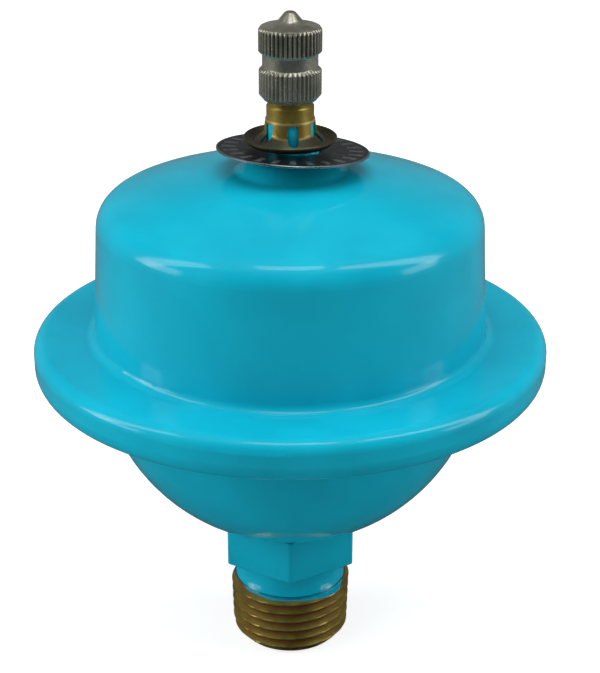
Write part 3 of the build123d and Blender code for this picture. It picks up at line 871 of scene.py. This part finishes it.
@dataclass
class PortFitting:
    """The brass fitting: taper pipe thread, neck, hexagon, and the spigot inside the bowl."""

    pitch: float = 25.4 / 14
    taper: float = 1 / 32
    end_radius: float = 10.36
    thread_length: float = 11.7
    thread_depth: float = 1.35
    thread_flat: float = 0.1
    thread_shift: float = 0.234
    lead_length: float = 1.9
    lead_radius: float = 8.76
    neck_radius: float = 9.05
    neck_ease: float = 0.4
    flare_foot: tuple[float, float] = (9.85, 12.25)
    flare_corner: float = 13.29
    flare_bend: float = 3.85
    crevice: tuple[float, float] = (9.95, 12.06)
    crest_step: tuple[float, float] = (10.05, 12.12)
    hex_bottom: float = 16.9
    hex_height: float = 8.7
    hex_half: float = 22.225 / 2
    hex_edge: float = 0.16
    chamfer_slope: float = math.tan(math.radians(30))
    spigot_radius: float = 8.0
    collar_height: float = 3.4
    swage_radius: float = 9.6
    swage_height: float = 1.0
    port_radius: float = 6.5
    port_chamfer: float = 0.5
    groove: tuple[float, float, float] = (8.85, 10.55, 1.3)
    segments: int = 288
    rows_per_pitch: int = 20

    def outline(self) -> list[Row]:
        """The section's outline, from the end face up outside and down through the port."""
        hex_top = self.hex_bottom + self.hex_height
        washer_top = hex_top + self.collar_height
        port_top = washer_top + self.swage_height
        spacing = self.pitch / self.rows_per_pitch
        thread_top = self.end_radius + self.taper * self.thread_length
        lead_top = Row(self.end_radius + self.taper * self.lead_length, self.lead_length, 1)
        end = Row(thread_top, self.thread_length, 1)
        soft = self.hex_edge
        rows = [Row(self.port_radius + self.port_chamfer, 0), Row(self.lead_radius - soft, 0)]
        rows += divided(Row(self.lead_radius, soft / 2, 1), lead_top, spacing)
        rows += divided(lead_top, end, spacing)[1:]
        rows += [Row(*self.crest_step), Row(*self.crevice)]
        rows += eased(
            [
                (*self.flare_foot, 0),
                (self.neck_radius, self.flare_corner, self.flare_bend),
                (self.neck_radius, self.hex_bottom, self.neck_ease),
                (self.neck_radius + 1, self.hex_bottom, 0),
            ],
            steps=8,
        )
        rows += [
            Row(self.hex_half - soft, self.hex_bottom, hexagon=True),
            Row(self.hex_half - soft / 3, self.hex_bottom + soft / 3, hexagon=True),
            Row(self.hex_half, self.hex_bottom + soft, hexagon=True),
            Row(self.hex_half, hex_top - soft, hexagon=True, drop=self.chamfer_slope),
            Row(self.hex_half - soft / 3, hex_top - soft / 4, hexagon=True, drop=self.chamfer_slope),
            Row(self.hex_half - soft, hex_top),
        ]
        inner, outer, depth = self.groove
        rows += [
            Row(outer, hex_top),
            Row(outer, hex_top - depth),
            Row(inner, hex_top - depth),
            Row(inner, hex_top),
            Row(self.spigot_radius, hex_top),
            Row(self.spigot_radius, washer_top),
            Row(self.swage_radius, washer_top),
        ]
        rows += eased(
            [
                (self.swage_radius, washer_top + 0.1, 0),
                (self.swage_radius, port_top, 0.8),
                (self.port_radius + self.port_chamfer, port_top, 0),
            ]
        )
        rows += [
            Row(self.port_radius, port_top - self.port_chamfer),
            Row(self.port_radius, self.port_chamfer),
        ]
        return rows

    def build(self) -> None:
        """Make the fitting, cut its thread, and dress the seals round it."""
        brass = TurnedMetal(grooved=True)
        finish = PaintedMetal(
            name="enamel_on_brass_fitting",
            paint=ENAMEL,
            metal=brass,
            paint_from=self.thread_length - 0.4,
            wander=0.12,
            wander_size=8.0,
            bare_beyond=8.9,
            # The crevice line is painted shade in the corner between the neck and the first crest.
            crevice_shade_height=self.crest_step[1] + 0.03,
            worn_height=self.hex_bottom + self.hex_height - 0.45,
        )
        made = baked(
            turned("pipe_fitting", self.outline(), self.segments),
            grooves_tree(),
            {
                "Crest Radius": self.end_radius * MM,
                "Taper": self.taper,
                "Depth": self.thread_depth * MM,
                "Grooves Per Metre": per_metre(self.pitch),
                "Grooves Per Turn": -1.0,
                "Shift": self.thread_shift,
                "Flat": self.thread_flat,
                "Side": float(Side.OUTSIDE.value),
                "Material": finish.material(),
            },
        )
        placed(smoothed(made), Body.VESSEL, "fitting_brass", "port_fitting")
        dress("port_o_ring", Moulded())
        dress("port_washer", TurnedMetal("zinc_plated_steel", "#B9BDBE", "#9DA2A5", "#5A5C5C", 0.3))


@dataclass
class GasValve:
    """The valve stem with its fine thread, and the gasket, retainer and tag disc round it."""

    pitch: float = 25.4 / 32
    stem_radius: float = 3.9
    crest_radius: float = 3.81
    thread_depth: float = 0.38
    thread_flat: float = 0.12
    head_bottom: float = 87.2
    head_top: float = 88.6
    head_radius: float = 5.8
    boss_top: float = 90.8
    bead_radius: float = 4.75
    bead_top: float = 91.75
    shoulder: float = 99.9
    top: float = 109.2
    bore_radius: float = 1.95
    top_bore_radius: float = 2.65
    seat_bottom: float = 101.9
    seat_top: float = 103.0
    paint_top: float = 97.3
    segments: int = 128
    rows_per_pitch: int = 12

    def outline(self) -> list[Row]:
        """The section's outline, up outside and down through the bore."""
        spacing = self.pitch / self.rows_per_pitch
        rows = eased(
            [
                (self.bore_radius, self.head_bottom, 0),
                (self.head_radius, self.head_bottom, 0.3),
                (self.head_radius, self.head_top, 0.2),
                (self.stem_radius, self.head_top, 0),
                (self.stem_radius, self.boss_top, 0),
                (self.bead_radius, self.boss_top, 0),
                (self.bead_radius, self.bead_top, 0.4),
                (self.stem_radius, self.bead_top, 0.15),
                (self.stem_radius, self.shoulder - 0.45, 0.1),
                (self.crest_radius - 0.3, self.shoulder, 0),
            ]
        )
        start = Row(self.crest_radius - 0.3, self.shoulder + 0.1, 0)
        rows += divided(start, Row(self.crest_radius, self.shoulder + 0.5, 1), spacing)
        lead = self.top - 0.5
        rows += divided(Row(self.crest_radius, self.shoulder + 0.55, 1), Row(self.crest_radius, lead, 1), spacing)
        rows += divided(Row(self.crest_radius, lead, 1), Row(self.crest_radius - 0.45, self.top, 1), spacing)[1:]
        rows += [
            Row(self.top_bore_radius + 0.15, self.top),
            Row(self.top_bore_radius, self.top - 0.15),
            Row(self.top_bore_radius, self.seat_top),
            Row(self.bore_radius, self.seat_bottom),
        ]
        return rows

    def build(self) -> None:
        """Make the stem and cut its thread."""
        brass = TurnedMetal(name="turned_stem_brass", line_spacing=0.3)
        finish = PaintedMetal(
            name="enamel_on_stem",
            paint=ENAMEL,
            metal=brass,
            paint_from=self.head_top,
            paint_to=self.paint_top,
            wander=0.1,
        )
        made = baked(
            turned("gas_valve_stem", self.outline(), self.segments),
            grooves_tree(),
            {
                "Crest Radius": self.crest_radius * MM,
                "Taper": 0.0,
                "Depth": self.thread_depth * MM,
                "Grooves Per Metre": per_metre(self.pitch),
                "Grooves Per Turn": -1.0,
                "Shift": 0.0,
                "Flat": self.thread_flat,
                "Side": float(Side.OUTSIDE.value),
                "Material": finish.material(),
            },
        )
        placed(smoothed(made), Body.VESSEL, "stem_brass", "valve_stem")
        dress("stem_gasket", Moulded())
        dress("stem_retainer", SpringBronze())
        dress("tag_disc", PrintedTag())


@dataclass
class ValveCap:
    """The knurled cap, with a plain bore over the stem's thread, and its seal."""

    stem: GasValve
    bottom: float = 100.45
    ceiling: float = 110.25
    lower_radius: float = 5.09
    upper_radius: float = 5.15
    waist_radius: float = 4.53
    top_radius: float = 4.84
    mouth_radius: float = 4.15
    lead_height: float = 0.95
    lower_band: float = 3.9
    waist_chamfer: float = 0.55
    waist_height: float = 2.0
    upper_band: float = 3.35
    top_chamfer: float = 0.5
    edge_width: float = 0.35
    nib_radius: float = 2.2
    nib_foot_height: float = 0.72
    nib_foot_bend: float = 1.5
    nib_tip_radius: float = 0.75
    nib_height: float = 2.47
    nib_tip_bend: float = 0.9
    teeth: int = 42
    knurl_depth: float = 0.26
    thread_gap: float = 0.08
    points_per_tooth: int = 8
    rows_per_pitch: int = 8

    def outside(self) -> list[Row]:
        """The outside, from the mouth to the nib's tip, its bands marked for the knurl."""
        start = self.bottom + self.lead_height
        waist = start + self.lower_band + self.waist_chamfer
        upper = waist + self.waist_height + self.waist_chamfer
        top = upper + self.upper_band + self.top_chamfer
        plain = eased(
            [
                (self.mouth_radius, self.bottom, 0),
                (self.mouth_radius + 0.12, self.bottom, 0),
                (self.lower_radius, start, 0.15),
                (self.lower_radius, start + self.lower_band, 0.08),
                (self.waist_radius, waist, 0.15),
                (self.waist_radius, waist + self.waist_height, 0.15),
                (self.upper_radius, upper, 0.08),
                (self.upper_radius, upper + self.upper_band, 0.15),
                (self.top_radius, top, 0.15),
                (self.top_radius - self.edge_width, top + self.edge_width / 2, 0.3),
                (self.nib_radius, top + self.nib_foot_height, self.nib_foot_bend),
                (self.nib_tip_radius, top + self.nib_height, self.nib_tip_bend),
                (0.0, top + self.nib_height, 0),
            ],
            steps=7,
        )
        return [Row(row.radius, row.height, 1.0) for row in plain]

    def inside(self) -> list[Row]:
        """The bore, from its ceiling down to the mouth, marked for the thread."""
        minor = self.stem.crest_radius - self.stem.thread_depth + self.thread_gap
        spacing = self.stem.pitch / self.rows_per_pitch
        relief = minor + self.stem.thread_depth
        rows = [
            Row(0.0, self.ceiling),
            Row(relief, self.ceiling),
            Row(relief, self.ceiling - 1.2),
        ]
        rows += divided(Row(minor, self.ceiling - 1.4, 1), Row(minor, self.bottom + 0.5, 1), spacing)
        rows += divided(Row(minor, self.bottom + 0.4, 1), Row(relief + 0.1, self.bottom, 1), spacing)
        return rows

    def build(self) -> None:
        """Make the cap with its knurl, and dress its seal."""
        nickel = TurnedMetal(
            name="dull_nickel_on_brass",
            colour="#CCCBBA",
            tarnish="#9C9D8C",
            groove_colour="#25271D",
            metallic=0.85,
            roughness=0.25,
            line_spacing=0.16,
            grooved=True,
        )
        shell = baked(
            turned("valve_cap_shell", self.inside() + self.outside(), self.teeth * self.points_per_tooth),
            grooves_tree(),
            {
                "Crest Radius": self.upper_radius * MM,
                "Taper": 0.0,
                "Depth": self.knurl_depth * MM,
                "Grooves Per Metre": 0.0,
                "Grooves Per Turn": float(self.teeth),
                "Shift": 0.0,
                "Flat": 0.35,
                "Side": float(Side.OUTSIDE.value),
                "Material": nickel.material(),
            },
        )
        placed(smoothed(shell), Body.CAP, "cap_nickel", "valve_cap")
        dress("cap_seal", Moulded())


@dataclass
class Diaphragm:
    """The rubber diaphragm: a clamped bead, and the membrane."""

    thickness: float = 1.6
    bead_width: float = 5.0
    sphere_radius: float = 30.5
    sphere_centre: float = 55.94
    button_edge: float = 9.4
    drape: float = 5.6
    bottom: float = 31.85
    neck: float = 2.55
    stroke: float = 22.0
    segments: int = 128

    def membrane(self) -> list[Row]:
        """The membrane's outline: its underside outwards, and its upper side back."""
        low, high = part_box("diaphragm")
        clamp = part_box("bowl_liner")[1].z / MM
        landing = self.button_edge + self.drape
        depth = math.sqrt(self.sphere_radius**2 - landing**2)
        first = math.asin(landing / self.sphere_radius)
        last = math.acos((self.sphere_centre - clamp + 3.2) / self.sphere_radius)
        path = eased(
            [
                (self.neck, self.bottom, 0),
                (self.button_edge, self.bottom, 2.0),
                (landing, self.sphere_centre - depth, 0),
            ]
        )
        for step in range(1, 17):
            angle = first + (last - first) * step / 16
            path.append(
                Row(
                    self.sphere_radius * math.sin(angle),
                    self.sphere_centre - self.sphere_radius * math.cos(angle),
                )
            )
        outer = high.x / MM - self.bead_width
        path += eased([(path[-1].radius + 0.2, clamp - 2.0, 0), (path[-1].radius + 1.2, clamp, 1.0), (outer, clamp, 0)])
        upper = []
        for before, here, after in zip([path[0]] + path, path, path[1:] + [path[-1]]):
            along = Vector((after.radius - before.radius, after.height - before.height)).normalized()
            upper.append(Row(here.radius - along.y * self.thickness, here.height + along.x * self.thickness))
        return path + upper[::-1]

    def build(self) -> None:
        """Make the membrane and the bead, and dress the button."""
        low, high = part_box("diaphragm")
        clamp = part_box("bowl_liner")[1].z / MM
        rubber = Moulded("black_nitrile_rubber", "#1A1B1C", "#26282A", 0.55, 0.7, 0.01)
        membrane = smoothed(turned("diaphragm_membrane", self.membrane(), self.segments))
        membrane.data.materials.append(rubber.material())
        placed(membrane, Body.VESSEL, "diaphragm_rubber", "diaphragm")
        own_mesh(membrane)
        outer = high.x / MM
        top = high.z / MM
        bead_rows = eased(
            [
                (outer - self.bead_width / 2, clamp, 0),
                (outer, clamp, 0.4),
                (outer, top, 0.4),
                (outer - self.bead_width, top, 0.4),
                (outer - self.bead_width, clamp, 0.4),
                (outer - self.bead_width / 2 - 0.1, clamp, 0),
            ]
        )
        bead = smoothed(turned("diaphragm_bead", bead_rows, self.segments))
        bead.data.materials.append(rubber.material())
        placed(bead, Body.VESSEL, "diaphragm_rubber", "diaphragm")
        dress("diaphragm_button", Moulded("moulded_acetal", "#E3E0D6", "#EFEDE6", 0.4, 0.9, 0.004))


@dataclass
class ValveCore:
    """The seven pieces of the valve core."""

    turns: float = 7.0
    coil_radius: float = 0.97
    wire_radius: float = 0.15
    stroke: float = 1.2

    def build(self) -> None:
        """Wind the spring and dress the other pieces."""
        low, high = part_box("core_spring")
        steel = TurnedMetal("drawn_spring_wire", "#B4B8BA", "#8F9496", "#55585A", 0.28, line_spacing=0.1)
        holder = bpy.data.objects.new("core_coil", bpy.data.meshes.new("core_coil"))
        bpy.context.scene.collection.objects.link(holder)
        bottom = low.z / MM + self.wire_radius
        spring = baked(
            holder,
            coil_tree(),
            {
                "Turns": self.turns,
                "Coil Radius": self.coil_radius * MM,
                "Wire Radius": self.wire_radius * MM,
                "Bottom": bottom * MM,
                "Rise": (high.z - low.z) - 2 * self.wire_radius * MM,
                "Material": steel.material(),
            },
        )
        placed(smoothed(spring), Body.VESSEL, "spring_wire", "core_spring")
        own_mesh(spring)
        brass = TurnedMetal(name="core_brass", colour="#B0913F", tarnish="#8A6C2C")
        for node in ("core_plug", "core_barrel", "core_pin", "core_cup"):
            dress(node, brass)
        dress("core_gasket", Moulded("red_moulded_seal", "#8E2A22", "#A23B30", 0.5, 0.6, 0.006))
        dress("core_cup_seal", Moulded())


@dataclass
class Studio:
    """A pale floor, two upright soft boxes, one overhead, and the camera of the photograph."""

    camera_place: tuple[float, float, float] = (0.0, -0.2561, 0.1707)
    camera_pitch: float = 23.66
    focal_pixels: float = 1625.6
    image_height: int = 673
    axis_offset_pixels: float = 9.8
    sensor: float = 36.0
    floor_colour: str = "#C2C2C2"
    floor_glow: float = 0.78
    ambient: float = 0.0
    mirrored_front: float = 0.02
    mirrored_behind: float = 0.15
    mirrored_ceiling: float = 0.12

    def camera(self) -> None:
        """Set the camera up as the photograph was taken."""
        data = bpy.data.cameras.new("camera")
        data.sensor_width = self.sensor
        data.lens = self.focal_pixels / self.image_height * self.sensor
        data.shift_x = self.axis_offset_pixels / self.image_height
        data.clip_start = 0.01
        made = bpy.data.objects.new("camera", data)
        made.location = self.camera_place
        made.rotation_euler = (math.radians(90 - self.camera_pitch), 0, 0)
        bpy.context.scene.collection.objects.link(made)
        bpy.context.scene.camera = made

    def lamp(
        self,
        name: str,
        place: tuple[float, float, float],
        size: tuple[float, float],
        power: float,
        mirrored: bool = False,
        roll: float = 0.0,
    ) -> None:
        """Hang a soft box that faces the object.

        Args:
            name: the lamp's name.
            place: where it hangs, in metres.
            size: its width and height.
            power: in watts.
            mirrored: whether a gloss shows it as a highlight, or it only fills.
            roll: its turn about its own axis, in degrees.
        """
        data = bpy.data.lights.new(name, "AREA")
        data.shape = "RECTANGLE"
        data.size, data.size_y = size
        data.energy = power
        made = bpy.data.objects.new(name, data)
        made.location = place
        aim = Vector((0, 0, 0.06)) - Vector(place)
        turn = Quaternion((0, 0, 1), math.radians(roll))
        made.rotation_euler = (aim.to_track_quat("-Z", "Y") @ turn).to_euler()
        made.visible_camera = False
        made.visible_glossy = mirrored
        bpy.context.scene.collection.objects.link(made)

    def mirrored_level(self, graph: Graph, way: Linkable, near: float, far: float) -> Linkable:
        """The brightness that a gloss mirrors: dim towards the camera, paler beside and behind.

        Args:
            graph: the tree that needs it.
            way: the point or the direction that is mirrored.
            near: how far beside or behind the object the dim part ends.
            far: how far beside or behind it the pale part starts.

        Returns:
            The level.
        """
        parts = graph.add("ShaderNodeSeparateXYZ", {"Vector": way}).outputs
        aside = graph.add("ShaderNodeMath", {0: parts["X"]}, operation="ABSOLUTE")
        away = graph.add("ShaderNodeMath", {0: aside, 1: parts["Y"]}, operation="ADD")
        return graph.add(
            "ShaderNodeMapRange",
            {
                "Value": away,
                "From Min": near,
                "From Max": far,
                "To Min": self.mirrored_front,
                "To Max": self.mirrored_behind,
            },
        )

    def floor_paper(self) -> bpy.types.Material:
        """Pale matt paper that shows white to the camera and keeps the object's shadow. To glossy and transmission rays
        it is a white glow instead, dim in front and paler beside and behind: painted light in the reflections.
        """
        material = bpy.data.materials.new("pale_floor_paper")
        material.use_nodes = True
        material.node_tree.nodes.clear()
        graph = Graph(material.node_tree)
        path = graph.add("ShaderNodeLightPath").outputs
        mirrored = graph.add(
            "ShaderNodeMath", {0: path["Is Glossy Ray"], 1: path["Is Transmission Ray"]}, operation="MAXIMUM"
        )
        place = graph.add("ShaderNodeTexCoord").outputs["Object"]
        reach = graph.add("ShaderNodeVectorMath", {0: place}, operation="LENGTH").outputs["Value"]
        glow = graph.add(
            "ShaderNodeMapRange", {"Value": reach, "From Min": 0.3, "From Max": 1.6, "To Min": self.floor_glow}
        )
        glow = graph.add("ShaderNodeMath", {0: path["Is Camera Ray"], 1: glow}, operation="MULTIPLY")
        grain = graph.add("ShaderNodeTexNoise", {"Vector": place, "Scale": per_metre(40.0)})
        shade = graph.add("ShaderNodeMapRange", {"Value": grain, "To Min": 0.62, "To Max": 0.66})
        paper = graph.add(
            "ShaderNodeBsdfPrincipled",
            {
                "Base Color": linear(self.floor_colour),
                "Roughness": shade,
                "Specular IOR Level": 0.0,
                "Emission Color": (1.0, 1.0, 1.0, 1.0),
                "Emission Strength": glow,
            },
        )
        # Painted reflection: glossy and transmission rays see this glow in place of the lit paper.
        level = self.mirrored_level(graph, place, 0.0, 0.25)
        image = graph.add("ShaderNodeEmission", {"Color": (1.0, 1.0, 1.0, 1.0), "Strength": level})
        both = graph.add("ShaderNodeMixShader", {"Fac": mirrored, 1: paper, 2: image})
        graph.add("ShaderNodeOutputMaterial", {"Surface": both})
        return material

    def floor(self) -> None:
        """Lay a plain pale floor."""
        reach = 4.0
        mesh = bpy.data.meshes.new("floor")
        mesh.from_pydata(
            [(-reach, -reach, 0), (reach, -reach, 0), (reach, reach, 0), (-reach, reach, 0)], [], [(0, 1, 2, 3)]
        )
        made = bpy.data.objects.new("floor", mesh)
        bpy.context.scene.collection.objects.link(made)
        mesh.materials.append(self.floor_paper())

    def world(self) -> None:
        """Light the room: white where the camera looks past the floor, dim and even elsewhere."""
        world = bpy.data.worlds.new("room")
        world.use_nodes = True
        world.node_tree.nodes.clear()
        graph = Graph(world.node_tree)
        path = graph.add("ShaderNodeLightPath").outputs
        mirrored = graph.add(
            "ShaderNodeMath", {0: path["Is Glossy Ray"], 1: path["Is Transmission Ray"]}, operation="MAXIMUM"
        )
        way = graph.add("ShaderNodeTexCoord").outputs["Generated"]
        upward = graph.add("ShaderNodeSeparateXYZ", {"Vector": way}).outputs["Z"]
        ceiling = graph.add(
            "ShaderNodeMapRange",
            {"Value": upward, "From Min": 0.6, "From Max": 0.8, "To Max": self.mirrored_ceiling},
        )
        low = graph.add(
            "ShaderNodeMapRange", {"Value": upward, "From Min": 0.3, "From Max": 0.6, "To Min": 1.0, "To Max": 0.3}
        )
        mirrored_level = self.mirrored_level(graph, way, 0.1, 1.0)
        mirrored_level = graph.add("ShaderNodeMath", {0: mirrored_level, 1: low, 2: ceiling}, operation="MULTIPLY_ADD")
        level = graph.add("ShaderNodeMix", {"Factor": mirrored, "A": self.ambient, "B": mirrored_level})
        level = graph.add("ShaderNodeMix", {"Factor": path["Is Camera Ray"], "A": level, "B": 1.0})
        light = graph.add("ShaderNodeBackground", {"Color": (1.0, 1.0, 1.0, 1.0), "Strength": level})
        graph.add("ShaderNodeOutputWorld", {"Surface": light})
        bpy.context.scene.world = world

    def build(self) -> None:
        """Set up the camera, the floor, the room and the lamps."""
        self.camera()
        self.floor()
        self.world()
        self.lamp("overhead_fill", (0.0, -0.1, 0.85), (0.9, 0.7), 5.15)
        self.lamp("left_fill", (-0.62, -0.05, 0.3), (0.3, 0.6), 1.3)
        self.lamp("front_left_fill", (-0.5, -0.4, 0.3), (0.3, 0.5), 1.0)
        self.lamp("right_fill", (0.62, -0.05, 0.3), (0.3, 0.6), 1.6)
        self.lamp("overhead_box", (0.0, -0.16, 0.78), (0.3, 0.2), 0.5, mirrored=True)
        self.lamp("left_box", (-0.565, -0.1, 0.37), (0.17, 0.68), 0.95, mirrored=True, roll=-20.0)
        self.lamp("right_box", (0.496, -0.096, 0.484), (0.17, 0.75), 1.05, mirrored=True, roll=23.0)
        self.lamp("low_left_box", (-0.62, -0.17, 0.17), (0.26, 0.2), 0.36, mirrored=True)
        self.lamp("low_right_box", (0.62, -0.15, 0.17), (0.26, 0.2), 0.32, mirrored=True)
        bpy.context.scene.view_settings.view_transform = "Standard"


def main() -> None:
    """Build the studio and each sub-assembly in order."""
    logging.basicConfig(level=logging.INFO, format="%(name)s: %(message)s")
    Studio().build()
    Vessel().build()
    PortFitting().build()
    stem = GasValve()
    stem.build()
    ValveCap(stem).build()
    Diaphragm().build()
    ValveCore().build()


if __name__ == "__main__":
    main()
